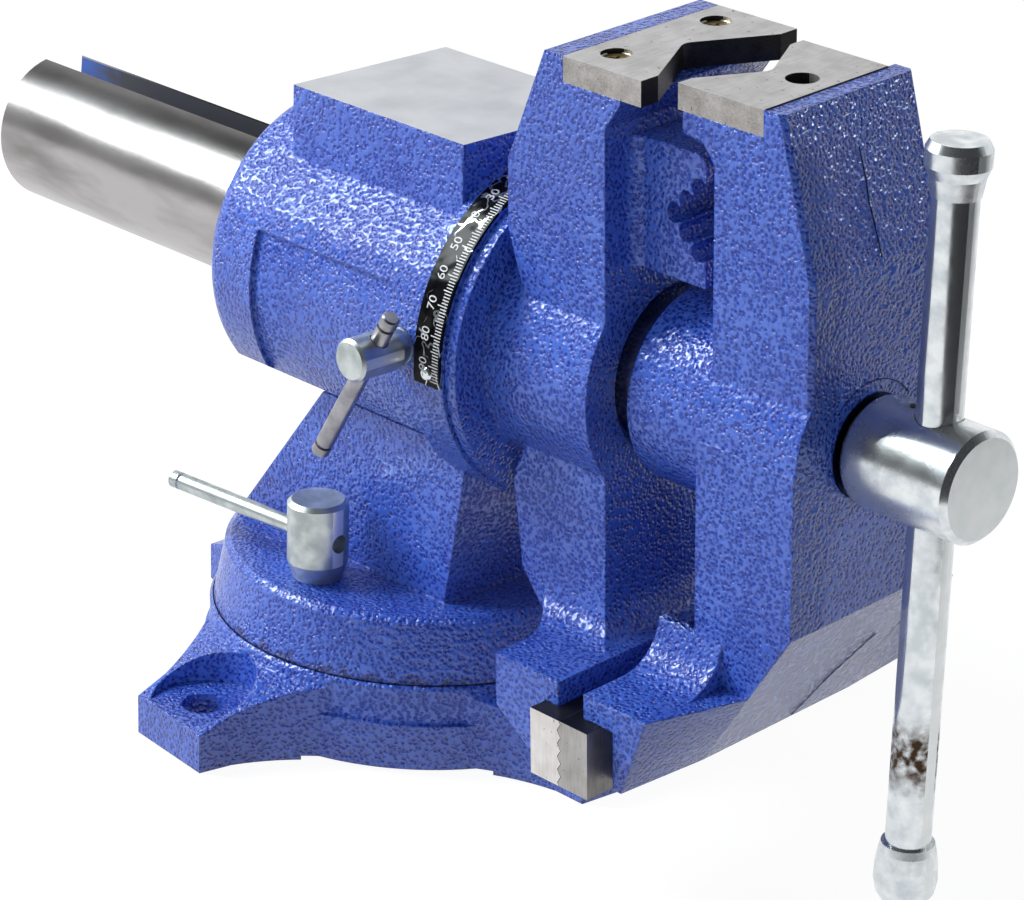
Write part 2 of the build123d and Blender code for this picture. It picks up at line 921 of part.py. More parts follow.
def make_retaining_ring_screws():
    screws = []
    seat = barrel_rear - ring_thickness + ring_screw_head_height
    for n in range(ring_screw_count):
        screw = rod("x", ring_screw_head_radius, seat - ring_screw_head_height, seat, 0, ring_screw_circle_radius)
        screw += rod("x", ring_screw_radius, seat, barrel_rear + ring_screw_hold, 0, ring_screw_circle_radius)
        socket = extrude(RegularPolygon(2.0, 6, major_radius=False), 2.5)
        head_face = seat - ring_screw_head_height
        screw -= Pos(head_face, 0, ring_screw_circle_radius) * Rot(0, 90, 0) * socket
        screws.append(on_head(Rot(ring_screw_angle(n), 0, 0) * screw))
    return Compound(screws)


def v_insert(rear, length, half_width, notch_half_width, way):
    """Flat insert with a V notch in the face that looks along way; rear is its lowest X."""
    front = rear + length if way > 0 else rear
    back = rear if way > 0 else rear + length
    depth = notch_half_width / sqrt(3)
    corners = [
        (back, -half_width),
        (front, -half_width),
        (front, -notch_half_width),
        (front - way * depth, 0),
        (front, notch_half_width),
        (front, half_width),
        (back, half_width),
    ]
    plate = Pos(0, 0, seat_level) * extrude(make_face(Polyline(*corners, close=True)), insert_thickness)
    apex_edge = plate.edges().filter_by(Axis.Z).sort_by_distance(
        (front - way * depth, 0, seat_level + insert_thickness / 2)
    )[0]
    return fillet(apex_edge, notch_round)


def make_static_v_insert():
    insert = v_insert(static_insert_rear, static_insert_length, jaw_half_width, static_notch_half_width, 1)
    for side in (-1, 1):
        insert -= static_insert_screw(side, drill_clearance)
    return on_head(insert)


def static_insert_screw(side, spare):
    """Countersunk screw of the static insert, or with spare the hole that it needs."""
    screw = countersunk(
        insert_screw_radius + spare,
        insert_screw_length,
        insert_screw_head_radius + spare,
        insert_screw_head_depth,
    )
    if spare:
        screw += turned(
            [
                (0, 0),
                (insert_screw_head_radius + spare, 0),
                (insert_hole_radius, insert_hole_radius - insert_screw_head_radius - spare),
                (insert_hole_radius, insert_screw_sink + 1),
                (0, insert_screw_sink + 1),
            ],
            Axis.Z,
        )
    return static_screw_place(side) * screw


def static_screw_place(side):
    return Pos(
        static_insert_rear + static_screw_back,
        side * static_screw_spread + static_screw_shift,
        jaw_top - insert_screw_sink,
    )


def make_static_v_screws():
    screws = []
    for side in (-1, 1):
        recess = static_screw_place(side) * Rot(0, 0, 20) * cross_recess(insert_screw_head_radius, 1.5)
        screws.append(on_head(static_insert_screw(side, 0) - recess))
    return Compound(screws)


def make_moving_v_insert():
    insert = v_insert(
        moving_insert_rear, moving_insert_length, moving_insert_half_width, moving_notch_half_width, -1
    )
    hole_x = moving_insert_front - moving_screw_back
    insert -= rod("z", insert_screw_radius + drill_clearance, seat_level, jaw_top, hole_x, moving_screw_shift)
    insert -= rod("z", moving_hole_radius, seat_level + moving_seat_floor, jaw_top, hole_x, moving_screw_shift)
    return on_head(insert)


def make_moving_v_screw():
    hole_x = moving_insert_front - moving_screw_back
    seat = seat_level + moving_seat_floor
    head_radius = moving_hole_radius - drill_clearance
    shift = moving_screw_shift
    screw = rod("z", head_radius, seat, seat + moving_screw_head_height, hole_x, shift)
    screw += rod("z", insert_screw_radius, seat - insert_screw_length, seat, hole_x, shift)
    socket = extrude(RegularPolygon(socket_half, 6, major_radius=False), socket_depth)
    screw -= Pos(hole_x, shift, seat + moving_screw_head_height - socket_depth) * socket
    return on_head(screw)


def tooth_line():
    """Zigzag of the serrated face, from the plate's top to its bottom."""
    pitch = plate_height / tooth_count
    points = [(plate_meeting, plate_top)]
    for n in range(tooth_count):
        level = plate_top - n * pitch
        points.append((plate_meeting + tooth_depth / 2, level - pitch * 0.25))
        points.append((plate_meeting - tooth_depth / 2, level - pitch * 0.75))
    points.append((plate_meeting, plate_top - plate_height))
    return points


def make_serrated_plate(way):
    """Plate between its seat and the zigzag meeting line; the moving one stands a hair off."""
    seat = plate_meeting + way * plate_thickness
    gap = face_gap if way > 0 else 0
    teeth = [(x + gap, z) for x, z in tooth_line()]
    corners = teeth + [(seat, plate_top - plate_height), (seat, plate_top)]
    plate = side_prism(corners, -plate_half_length, plate_half_length)
    for side in (-1, 1):
        sunk = countersunk(
            plate_screw_radius + drill_clearance,
            plate_screw_length,
            plate_screw_head_radius + drill_clearance,
            plate_screw_head_depth,
        )
        sunk += rod("z", plate_screw_head_radius + drill_clearance, 0, plate_screw_sink + tooth_depth)
        plate -= plate_screw_place(way, side) * sunk
    return on_head(plate)


def make_plate_screws(way):
    screws = []
    for side in (-1, 1):
        screw = countersunk(
            plate_screw_radius, plate_screw_length, plate_screw_head_radius, plate_screw_head_depth
        )
        screw -= cross_recess(plate_screw_head_radius)
        screws.append(on_head(plate_screw_place(way, side) * screw))
    return Compound(screws)


def moving_wing(end, root):
    """Half of the lower beam, tapering from the column out to one end."""
    def section(y, front, foot):
        corners = [
            (moving_beam_rear, beam_top),
            (front, beam_top),
            (foot, beam_bottom),
            (moving_seat, beam_bottom),
            (moving_seat, plate_top),
            (moving_beam_rear, plate_top),
        ]
        return Pos(0, y, 0) * side_face(corners)
    return loft(
        [
            section(root, moving_beam_root_front, moving_foot_front),
            section(end, moving_beam_front, moving_foot_end_front),
        ],
        ruled=True,
    )


def make_moving_jaw():
    upper = side_prism(
        [
            (moving_insert_front, jaw_top),
            (column_top_front, jaw_top),
            (column_front, column_slope_start),
            (column_front, 0),
            (column_inner, 0),
            (column_inner, nose_root_height),
            (column_inner - nose_underside_back, nose_underside_height),
            (plate_meeting + nose_forward, nose_height),
            (plate_meeting + nose_forward, seat_level),
            (moving_insert_front, seat_level),
        ],
        -column_near_half_width,
        column_far_half_width,
    )
    lower = side_prism(
        [
            (column_front, 0),
            (column_front, chin_height),
            (moving_foot_front, beam_bottom),
            (moving_seat, beam_bottom),
            (moving_seat, plate_top),
            (moving_beam_rear, plate_top),
            (moving_beam_rear, beam_top),
            (column_inner, beam_top),
            (column_inner, 0),
        ],
        -jaw_half_width,
        jaw_half_width,
    )
    front_edges = upper.edges().filter_by(lambda edge: edge.center().X > column_top_front + 1)
    upper = chamfer(front_edges.filter_by(lambda edge: abs(edge.center().Y) > column_near_half_width - 1), column_chamfer)
    jaw = upper + lower
    jaw += rod("x", boss_radius, boss_rear, column_front)
    jaw += moving_wing(beam_near_end, -jaw_half_width)
    jaw += moving_wing(beam_far_end, jaw_half_width)
    cove_end = moving_beam_front
    for side in (-1, 1):
        jaw += cove("x", moving_beam_rear, cove_end, side * jaw_half_width, beam_top, side, 1, moving_fillet)
    for relief in ((beam_near_end, beam_near_end + end_relief), (beam_far_end - end_relief, beam_far_end)):
        jaw -= block((moving_beam_rear, moving_seat + end_relief), relief, (beam_bottom, plate_top))

    jaw -= rod("x", slide_radius + running_fit, boss_rear, slide_front, 0, slide_rise)
    jaw -= rod("x", screw_radius + drill_clearance, slide_front, column_front)
    jaw -= rod("x", washer_radius + drill_clearance, column_front - washer_thickness, column_front)
    hole_x = moving_insert_front - moving_screw_back
    jaw -= rod("z", insert_screw_radius + thread_fit, seat_level - insert_screw_length, seat_level, hole_x,
               moving_screw_shift)
    for side in (-1, 1):
        jaw -= plate_screw_hole(1, side)
    return on_head(jaw)


def make_slide_bar():
    bar = rod("x", slide_radius, slide_rear, slide_front, 0, slide_rise)
    bar -= rod("x", slide_bore_radius, slide_rear, slide_front, 0, slide_rise)
    slot_end = nut_rear + nut_length + 6
    half = slide_slot_width / 2
    bar -= keyed(block((slide_rear, slot_end), (-half, half), (0, slide_rise + slide_radius + 1)))
    return on_head(bar)


def make_lead_nut():
    nut = rod("x", slide_bore_radius - slide_rise - drill_clearance, nut_rear, nut_rear + nut_length)
    half = key_width / 2
    key_top = key_top_radius - face_gap
    nut += block((nut_rear, nut_rear + nut_length), (-half, half), (0, key_top))
    nut -= rod("x", screw_radius + thread_fit, nut_rear, nut_rear + nut_length)
    nut -= nut_screw_at(nut_screw_radius + thread_fit, nut_screw_radius + thread_fit, 0)
    return on_head(keyed(nut))


def make_lead_nut_screw():
    screw = nut_screw_at(nut_screw_radius, nut_screw_head_radius, 0)
    return on_head(keyed(screw))


def make_lead_screw():
    end = screw_head_front - screw_head_wall
    screw = rod("x", screw_radius, screw_rear, end)
    screw -= rod("z", handle_radius + drill_clearance, -2 * screw_radius, 2 * screw_radius, handle_x)
    screw -= rod("z", head_pin_radius + thread_fit, 0, 2 * screw_radius, handle_x - head_pin_offset())
    screw -= rod("y", collar_pin_radius + thread_fit, -2 * screw_radius, 2 * screw_radius, collar_middle())
    return on_axis(screw)


def head_pin_offset():
    return handle_radius + head_pin_radius + head_pin_wall


def collar_middle():
    return slide_front - face_gap - collar_length / 2


def make_screw_head():
    outline = [
        (screw_head_rear, 0),
        (screw_head_rear, screw_head_radius),
        (screw_head_front - screw_head_bevel, screw_head_radius),
        (screw_head_front, screw_head_radius - screw_head_bevel),
        (screw_head_front, 0),
    ]
    head = turned(outline, Axis.X)
    rear_edge = head.edges().filter_by(GeomType.CIRCLE).sort_by(Axis.X)[0]
    head = fillet(rear_edge, screw_head_rear_round)
    head -= rod("x", screw_radius + thread_fit, screw_head_rear, screw_head_front - screw_head_wall)
    head -= rod(
        "z", handle_radius + drill_clearance, -2 * screw_head_radius, 2 * screw_head_radius, handle_x
    )
    head -= rod("z", head_pin_radius + thread_fit, 0, 2 * screw_head_radius, handle_x - head_pin_offset())
    return on_axis(head)


def make_screw_head_pin():
    top = screw_head_radius - head_pin_sink
    return on_axis(rod("z", head_pin_radius, top - head_pin_length, top, handle_x - head_pin_offset()))


def make_thrust_washer():
    rear = column_front - washer_thickness
    washer = rod("x", washer_radius, rear, column_front + screw_head_gap / 2)
    return on_head(washer - rod("x", screw_radius + drill_clearance, rear, screw_head_rear))


def make_screw_collar():
    radius = collar_radius
    front = slide_front - face_gap
    collar = rod("x", radius, front - collar_length, front)
    collar -= rod("x", screw_radius + thread_fit, front - collar_length, front)
    collar -= rod("y", collar_pin_radius + thread_fit, -radius, radius, collar_middle())
    return on_axis(collar)


def make_collar_pin():
    reach = sqrt(collar_radius ** 2 - collar_pin_radius ** 2) - drill_clearance
    return on_axis(rod("y", collar_pin_radius, -reach, reach, collar_middle()))


def make_handle_bar():
    top = handle_top - top_knob_length
    bottom = handle_bottom + bottom_knob_length
    bar = rod("z", handle_radius, bottom, top, handle_x)
    bar += rod("z", knob_spigot_radius, bottom - knob_spigot_length, top + knob_spigot_length, handle_x)
    return on_axis(bar)


def knob(length, shape):
    """Knob along Z from its mouth at zero, turned to a list of height and radius shares."""
    outline = [(0, 0)]
    outline += [(share * knob_radius, part * length) for part, share in shape]
    outline += [(0, length)]
    body = turned(outline, Axis.Z)
    return body - rod("z", knob_spigot_radius + thread_fit, 0, knob_spigot_length + 0.5)


def make_handle_knobs():
    top_shape = [(0, 0.76), (0.35, 0.86), (0.55, 1.0), (0.85, 1.0), (1.0, 0.86)]
    bottom_shape = [(0, 0.84), (0.12, 0.9), (0.35, 0.98), (0.6, 1.0), (0.8, 0.92), (0.93, 0.74), (1.0, 0.5)]
    top = Pos(handle_x, 0, handle_top - top_knob_length) * knob(top_knob_length, top_shape)
    bottom = Pos(handle_x, 0, handle_bottom + bottom_knob_length) * Rot(180, 0, 0) * knob(
        bottom_knob_length, bottom_shape
    )
    return Compound([on_axis(top), on_axis(bottom)])


pieces = {
    "base_plate": make_base_plate(),
    "pivot_bolt": make_pivot_bolt(),
    "pivot_washer": make_pivot_washer(),
    "base_lock_nuts": make_base_lock_nuts(),
    "swivel_body": make_swivel_body(),
    "angle_scale": make_angle_scale(),
    "scale_rivets": make_scale_rivets(),
    "base_lock_screw_near": make_base_lock_screw(-1),
    "base_lock_bar_near": make_base_lock_bar(-1),
    "base_lock_screw_far": make_base_lock_screw(1),
    "base_lock_bar_far": make_base_lock_bar(1),
    "head_lock_screw": make_head_lock_screw(),
    "head_lock_bar": make_head_lock_bar(),
    "head_lock_shoe": make_head_lock_shoe(),
    "static_jaw": make_static_jaw(),
    "retaining_ring": make_retaining_ring(),
    "retaining_ring_screws": make_retaining_ring_screws(),
    "static_v_insert": make_static_v_insert(),
    "static_v_screws": make_static_v_screws(),
    "static_plate": make_serrated_plate(-1),
    "static_plate_screws": make_plate_screws(-1),
    "moving_jaw": make_moving_jaw(),
    "slide_bar": make_slide_bar(),
    "moving_v_insert": make_moving_v_insert(),
    "moving_v_screw": make_moving_v_screw(),
    "moving_plate": make_serrated_plate(1),
    "moving_plate_screws": make_plate_screws(1),
    "lead_nut": make_lead_nut(),
    "lead_nut_screw": make_lead_nut_screw(),
    "lead_screw": make_lead_screw(),
    "screw_head": make_screw_head(),
    "screw_head_pin": make_screw_head_pin(),
    "thrust_washer": make_thrust_washer(),
    "screw_collar": make_screw_collar(),
    "collar_pin": make_collar_pin(),
    "handle_bar": make_handle_bar(),
    "handle_knobs": make_handle_knobs(),
}

os.makedirs("parts", exist_ok=True)
for name, shape in pieces.items():
    export_step(shape, f"parts/{name}.step")
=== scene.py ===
from math import cos, pi, radians, sin

import bmesh
import bpy
from mathutils import Matrix, Vector


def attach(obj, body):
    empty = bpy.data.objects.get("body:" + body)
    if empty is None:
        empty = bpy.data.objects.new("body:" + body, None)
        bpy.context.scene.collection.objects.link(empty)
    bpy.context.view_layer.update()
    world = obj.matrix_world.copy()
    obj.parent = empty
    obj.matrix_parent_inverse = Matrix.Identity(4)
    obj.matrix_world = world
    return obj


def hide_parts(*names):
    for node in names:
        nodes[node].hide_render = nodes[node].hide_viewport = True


# Looks of a swivel bench vise. Everything is in metres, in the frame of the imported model.
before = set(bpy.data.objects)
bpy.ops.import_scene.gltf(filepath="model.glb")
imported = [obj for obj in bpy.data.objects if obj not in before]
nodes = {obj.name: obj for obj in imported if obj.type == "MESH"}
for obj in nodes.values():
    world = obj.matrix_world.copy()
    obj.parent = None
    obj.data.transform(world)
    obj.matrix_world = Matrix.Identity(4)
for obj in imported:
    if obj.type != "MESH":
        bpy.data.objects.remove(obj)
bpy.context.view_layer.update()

MM = 0.001

# Places on the vise
AXIS_HEIGHT = 123.6 * MM
HEAD_TURN = radians(3.0)
ANVIL_LEVEL = 178.6 * MM
SEAM_LEVEL = 26.0 * MM
SEAM_RADIUS = 62.9 * MM
HANDLE_STAIN = 45.5 * MM

# Slide tube: its middle lies a little above the vise axis, and faces nearer to that middle than
# TUBE_SKIN belong to its bore or its slot
TUBE_SKIN = 22.2 * MM
TUBE_RISE = 1.4 * MM
TUBE_REAR = -172.0 * MM

# Main screw and its thread. A steeper flank rises faster, and a larger crest leaves a narrower groove.
SCREW_RADIUS = 10.0 * MM
SCREW_REAR = -112.0 * MM
SCREW_FRONT = 167.5 * MM
THREAD_PITCH = 6.0 * MM
THREAD_DEPTH = 1.6 * MM
THREAD_STEEPNESS = 4.5
THREAD_CREST = 1.75

# Angle strip and its marks
HOUSING_FRONT = 53.7 * MM
STRIP_WIDTH = 9.9 * MM
STRIP_RADIUS = 48.65 * MM
FIGURE_LINE = HOUSING_FRONT - STRIP_WIDTH + 4.9 * MM
FIGURE_SIZE = 4.0 * MM
TICK_START = HOUSING_FRONT - 0.5 * MM
TICK_HALF_WIDTH = radians(0.19)
LONG_TICK = 3.6 * MM
MIDDLE_TICK = 3.0 * MM
SHORT_TICK = 2.3 * MM
PRINT_RISE = 0.05 * MM

# Marks on the moving jaw, in millimetres: X from the swivel axis, Y and Z from the vise axis in the
# rolled head
INSERT_EDGE_X = 145.4
JAW_TOP_Z = 91.7
INSERT_EDGE_Y = (-22.5, -8.0, 8.0, 22.5)
FRONT_HAIRLINE = (
    (154.9, 1.2, 78.6),
    (157.2, 1.7, 70.2),
    (158.4, 1.3, 65.8),
    (159.5, 1.8, 61.5),
    (162.3, 2.6, 50.8),
)
FOOT_HAIRLINE = (
    (149.8, 19.5, -65.4),
    (141.7, 10.7, -77.8),
    (132.9, 5.4, -91.2),
)
COLUMN_FRONT_X = 162.5
WASHER_MARK_RADIUS = 17.8
MARK_RISE = 0.06 * MM

# Directions in which the marked faces point
UPWARD = (0, 0, 1)
FORWARD = (1, 0, 0)
COLUMN_SLOPE = (0.967, 0, 0.255)
FOOT_SLOPE = (0.837, 0, -0.547)

# Sizes of the patterns in the finishes
PEBBLE = 1.25 * MM
SPECK = 0.8 * MM
SWELL = 4.5 * MM
ENAMEL_DEPTH = 0.48 * MM
CAST_EDGE = 0.8 * MM
GRINDING_LINE = 0.5 * MM
TURNING_RING = 0.45 * MM

# Studio
PAPER_EDGE = 430.0 * MM
PAPER_EDGE_BLUR = 12.0 * MM
FLOOR_GAP = 0.2 * MM
FLOOR_REACH = 6.0
LAMP_COLOUR = (0.93, 1.0, 1.0)
LAMP_TARGET = Vector((0.05, 0, 0.1))
CAMERA_PLACE = Vector((0.74837, -0.70076, 0.49827))
CAMERA_RIGHT = Vector((0.69134, 0.72205, 0.02658))
CAMERA_UP = Vector((-0.29488, 0.24838, 0.92270))
CAMERA_BACK = Vector((0.65962, -0.64573, 0.38462))
CAMERA_LENS = 135.985


# Colours and nodes

def colour(hex_value):
    """Turn an sRGB hex value into linear red, green, blue and alpha."""
    channels = [int(hex_value[i:i + 2], 16) / 255 for i in (1, 3, 5)]
    linear = [c / 12.92 if c <= 0.04045 else ((c + 0.055) / 1.055) ** 2.4 for c in channels]
    return (*linear, 1.0)


def add(tree, kind, links=None, **settings):
    """Add one node. settings name its own properties or its sockets, links name what feeds a socket.
    The properties are set first, because they can change the sockets."""
    node = tree.nodes.new("ShaderNode" + kind)
    for name, value in settings.items():
        if hasattr(node, name):
            setattr(node, name, value)
    for name, value in settings.items():
        if not hasattr(node, name):
            node.inputs[name.replace("_", " ")].default_value = value
    for name, source in (links or {}).items():
        tree.links.new(source, node.inputs[name])
    return node


def new_finish(name):
    """New material, its empty node tree and the object's own coordinates."""
    material = bpy.data.materials.new(name)
    material.use_nodes = True
    tree = material.node_tree
    tree.nodes.clear()
    place = add(tree, "TexCoord").outputs["Object"]
    return material, tree, place


def covered(material, shader):
    """Give a material its surface."""
    tree = material.node_tree
    output = add(tree, "OutputMaterial")
    tree.links.new(shader, output.inputs["Surface"])
    return material


def grains(tree, place, size, detail=2.0, stretch=(1, 1, 1)):
    """Noise whose grains are about size long; stretch divides them along X, Y and Z."""
    scaled = add(tree, "Mapping", {"Vector": place}, Scale=stretch)
    noise = add(tree, "TexNoise", {"Vector": scaled.outputs[0]}, Scale=1 / size, Detail=detail)
    return noise.outputs["Fac"]


def between(tree, value, low, high):
    """Stretch the part of a value between low and high to 0 to 1."""
    return add(tree, "MapRange", {"Value": value}, From_Min=low, From_Max=high).outputs["Result"]


def spread(tree, value, low, high):
    """Turn a value of 0 to 1 into one of low to high."""
    return add(tree, "MapRange", {"Value": value}, To_Min=low, To_Max=high).outputs["Result"]


def tint(tree, share, first, second):
    """Blend two colours, given as hex values or sockets, by a share."""
    mix = add(tree, "Mix", {0: share}, data_type="RGBA")
    for socket, value in ((6, first), (7, second)):
        if isinstance(value, str):
            mix.inputs[socket].default_value = colour(value)
        else:
            tree.links.new(value, mix.inputs[socket])
    return mix.outputs[2]


def number(tree, operation, first, second=0.5):
    """Arithmetic on two values, each a socket or a plain number."""
    math = add(tree, "Math", operation=operation)
    for socket, value in ((0, first), (1, second)):
        if isinstance(value, (int, float)):
            math.inputs[socket].default_value = value
        else:
            tree.links.new(value, math.inputs[socket])
    return math.outputs[0]


def plus(tree, first, second):
    return number(tree, "ADD", first, second)


def times(tree, first, second):
    return number(tree, "MULTIPLY", first, second)


def distance_from(tree, value, middle):
    return number(tree, "ABSOLUTE", number(tree, "SUBTRACT", value, middle))


def above(tree, value, limit):
    """1 where a value is above the limit, 0 elsewhere."""
    return number(tree, "GREATER_THAN", value, limit)


def vector(tree, operation, first, second=(0, 0, 0)):
    """Arithmetic on a vector socket and three plain numbers."""
    math = add(tree, "VectorMath", {0: first}, operation=operation)
    math.inputs[1].default_value = second
    return math


def towards(tree, direction, target):
    """How far a direction points towards a target, from -1 to 1."""
    return vector(tree, "DOT_PRODUCT", direction, target).outputs["Value"]


def part_of(tree, whole, axis):
    """The X, Y or Z part of a vector."""
    return add(tree, "SeparateXYZ", {"Vector": whole}).outputs[axis]


def facing(tree, axis):
    """The X, Y or Z part of the direction that a face points in."""
    return part_of(tree, add(tree, "NewGeometry").outputs["True Normal"], axis)


def relief(tree, height, strength, depth):
    """Normals of a skin that stands up to depth high."""
    return add(tree, "Bump", {"Height": height}, Strength=strength, Distance=depth).outputs[0]


def surface(tree, fed, **settings):
    """Surface with some of its sockets fed and others set."""
    return add(tree, "BsdfPrincipled", fed, **settings).outputs[0]


def mixed(tree, share, first, second):
    """Blend two surfaces by a share."""
    return add(tree, "MixShader", {0: share, 1: first, 2: second}).outputs[0]


# Finishes

def ground_face(tree, place):
    """Surface-ground iron: fine straight scratches and faint handling marks."""
    lines = grains(tree, place, GRINDING_LINE, 3.0, (0.04, 1, 1))
    blotch = between(tree, grains(tree, place, 14 * MM, 4.0), 0.35, 0.7)
    shade = tint(tree, blotch, "#F3F4F9", "#E2E4EA")
    rough = spread(tree, lines, 0.4, 0.55)
    skin = relief(tree, lines, 0.15, 0.02 * MM)
    return surface(tree, {"Base Color": shade, "Roughness": rough, "Normal": skin}, Metallic=0.85)


def seam_grime(tree, place, seam):
    """Share of grime that creeps up in ragged streaks from a seam's level."""
    level = part_of(tree, place, "Z")
    streak = grains(tree, place, 3 * MM, 5.0, (1, 1, 0.5))
    reach = times(tree, between(tree, streak, 0.48, 0.8), 5 * MM)
    creep = number(tree, "SUBTRACT", number(tree, "SUBTRACT", level, seam), reach)
    return times(tree, between(tree, creep, 1.0 * MM, 0.0), 0.55)


def hammertone_enamel(name, ground=None, seam=None):
    """Glossy stoved enamel on rough cast iron: pebbled skin with small dark pits in a paler blue.
    ground is a level above which upward faces are bare ground iron, seam one that grime creeps up from."""
    material, tree, place = new_finish(name)
    swell = grains(tree, place, SWELL, 3.0)
    pebble = add(tree, "TexVoronoi", {"Vector": place}, Scale=1 / PEBBLE).outputs["Distance"]
    speck = grains(tree, place, SPECK)
    pits = between(tree, plus(tree, pebble, times(tree, speck, 1.1)), 0.72, 1.18)
    height = plus(tree, times(tree, pits, 0.6), times(tree, pebble, 0.3))
    height = plus(tree, height, times(tree, swell, 0.8))
    bloom = between(tree, grains(tree, place, 22 * MM, 3.0), 0.32, 0.68)
    pale = tint(tree, bloom, "#4A72DC", "#3A5EC8")
    paint = tint(tree, pits, "#1632A2", pale)
    if seam is not None:
        paint = tint(tree, seam_grime(tree, place, seam), paint, "#21182C")
    rounded = add(tree, "Bevel", samples=4, Radius=CAST_EDGE).outputs[0]
    skin = add(tree, "Bump", {"Height": height, "Normal": rounded}, Strength=0.85, Distance=ENAMEL_DEPTH)
    shown = surface(tree, {"Base Color": paint, "Normal": skin.outputs[0]}, Roughness=0.1, IOR=1.68)
    if ground is not None:
        high = above(tree, part_of(tree, place, "Z"), ground)
        flat = above(tree, facing(tree, "Z"), 0.9)
        shown = mixed(tree, times(tree, high, flat), shown, ground_face(tree, place))
    return covered(material, shown)


def ground_steel(name, along, top, side, front):
    """Hardened steel with grinding lines and a few brown spots, and painted light and shade by face
    direction.
    along holds the stretch of the lines; top, side and front are pairs of colours painted on faces turned
    up,
    sideways and to the handle: lit and shaded copies of one steel that stand in for how light falls on
    them."""
    material, tree, place = new_finish(name)
    lines = grains(tree, place, GRINDING_LINE, 4.0, along)
    blotch = grains(tree, place, 7 * MM, 6.0)
    share = between(tree, plus(tree, times(tree, lines, 0.6), blotch), 0.62, 0.98)
    spots = between(tree, grains(tree, place, 1.6 * MM), 0.68, 0.74)
    # Faces turned up and faces turned to the handle get their own colours: painted light and shade, not a
    # different steel.
    turned_up_painted_light = above(tree, facing(tree, "Z"), 0.7)
    turned_to_handle_painted_light = above(tree, facing(tree, "X"), 0.3)
    shade = tint(tree, turned_to_handle_painted_light, tint(tree, share, *side), tint(tree, share, *front))
    shade = tint(tree, turned_up_painted_light, shade, tint(tree, share, *top))
    shade = tint(tree, times(tree, spots, 0.7), shade, "#4A3A32")
    rough = spread(tree, lines, 0.3, 0.5)
    skin = relief(tree, lines, 0.3, 0.03 * MM)
    steel = surface(tree, {"Base Color": shade, "Roughness": rough, "Normal": skin}, Metallic=0.75)
    return covered(material, steel)


def in_bore(tree, place):
    """1 inside the slide tube and on the walls of its slot, 0 on its skin."""
    from_axis = vector(tree, "SUBTRACT", place, (0, 0, AXIS_HEIGHT + TUBE_RISE)).outputs["Vector"]
    across = vector(tree, "MULTIPLY", from_axis, (0, 1, 1)).outputs["Vector"]
    radius = vector(tree, "LENGTH", across).outputs["Value"]
    return number(tree, "LESS_THAN", radius, TUBE_SKIN)


def worn_coat(tree, place):
    """Thin blue enamel at the tube's rear end, worn through to dark steel further in."""
    inward = between(tree, part_of(tree, place, "X"), TUBE_REAR, TUBE_REAR + 26 * MM)
    wear = between(tree, grains(tree, place, 6 * MM, 5.0, (0.5, 1, 1)), 0.25, 0.8)
    wear = between(tree, plus(tree, wear, inward), 0.5, 1.2)
    return surface(tree, {"Base Color": tint(tree, wear, "#2E56A8", "#3A3B44")}, Roughness=0.4)


def turned_steel(name, light="#BDBABB", dark="#8E8A8A", painted=False):
    """Steel turned in a lathe about X: rings too fine to count, so they are drawn coarser, and grey smears.
    painted says that the bore and the slot's walls have a thin worn coat of the blue enamel."""
    material, tree, place = new_finish(name)
    rings = grains(tree, place, TURNING_RING, 3.0, (1, 0.03, 0.03))
    smears = between(tree, grains(tree, place, 11 * MM, 6.0, (0.25, 1, 1)), 0.42, 0.72)
    shade = tint(tree, smears, light, dark)
    rough = spread(tree, rings, 0.23, 0.26)
    skin = relief(tree, rings, 0.06, 0.03 * MM)
    shown = surface(tree, {"Base Color": shade, "Roughness": rough, "Normal": skin}, Metallic=1.0)
    if painted:
        shown = mixed(tree, in_bore(tree, place), shown, worn_coat(tree, place))
    return covered(material, shown)


def rust_band(tree, place, level):
    """Share of rust in a ragged speckled band round a height."""
    away = distance_from(tree, part_of(tree, place, "Z"), level)
    ragged = plus(tree, away, times(tree, grains(tree, place, 6 * MM, 5.0), 14 * MM))
    band = between(tree, ragged, 18 * MM, 11 * MM)
    speckle = between(tree, grains(tree, place, 2.6 * MM, 6.0), 0.30, 0.58)
    return times(tree, band, speckle)


def zinc_plate(name, light="#F1F5F7", dark="#D3DADF", rough=(0.12, 0.22), worn=None):
    """Electroplated zinc with cloudy patches and a soft waviness. Ends that were faced off are frosted, and
    painted paler as painted light so that they read bright.
    worn is a height on the handle where the plating has gone brown."""
    material, tree, place = new_finish(name)
    cloud = between(tree, grains(tree, place, 5 * MM, 5.0), 0.35, 0.65)
    shade = tint(tree, cloud, light, dark)
    gloss = spread(tree, cloud, *rough)
    if worn is not None:
        rust = rust_band(tree, place, worn)
        shade = tint(tree, rust, shade, "#54402F")
        gloss = plus(tree, gloss, times(tree, rust, 0.45))
    skin = relief(tree, grains(tree, place, 0.8 * MM), 0.12, 0.05 * MM)
    plate = surface(tree, {"Base Color": shade, "Roughness": gloss, "Normal": skin}, Metallic=0.9)
    # Faces turned to the handle get a paler, less metallic copy of the zinc: a rougher frost, and painted
    # light that brightens them.
    pale = tint(tree, cloud, "#FBFEFE", "#EFF5F5")
    frosted_and_painted_pale = surface(tree, {"Base Color": pale}, Metallic=0.6, Roughness=0.28)
    faced_off = above(tree, facing(tree, "X"), 0.97)
    return covered(material, mixed(tree, faced_off, plate, frosted_and_painted_pale))


def dull_metal(name, light, dark, roughness):
    """Oiled or oxidised metal with a faint mottle."""
    material, tree, place = new_finish(name)
    mottle = between(tree, grains(tree, place, 3 * MM, 4.0), 0.35, 0.65)
    shade = tint(tree, mottle, light, dark)
    skin = relief(tree, mottle, 0.2, 0.05 * MM)
    metal = surface(tree, {"Base Color": shade, "Normal": skin}, Metallic=1.0, Roughness=roughness)
    return covered(material, metal)


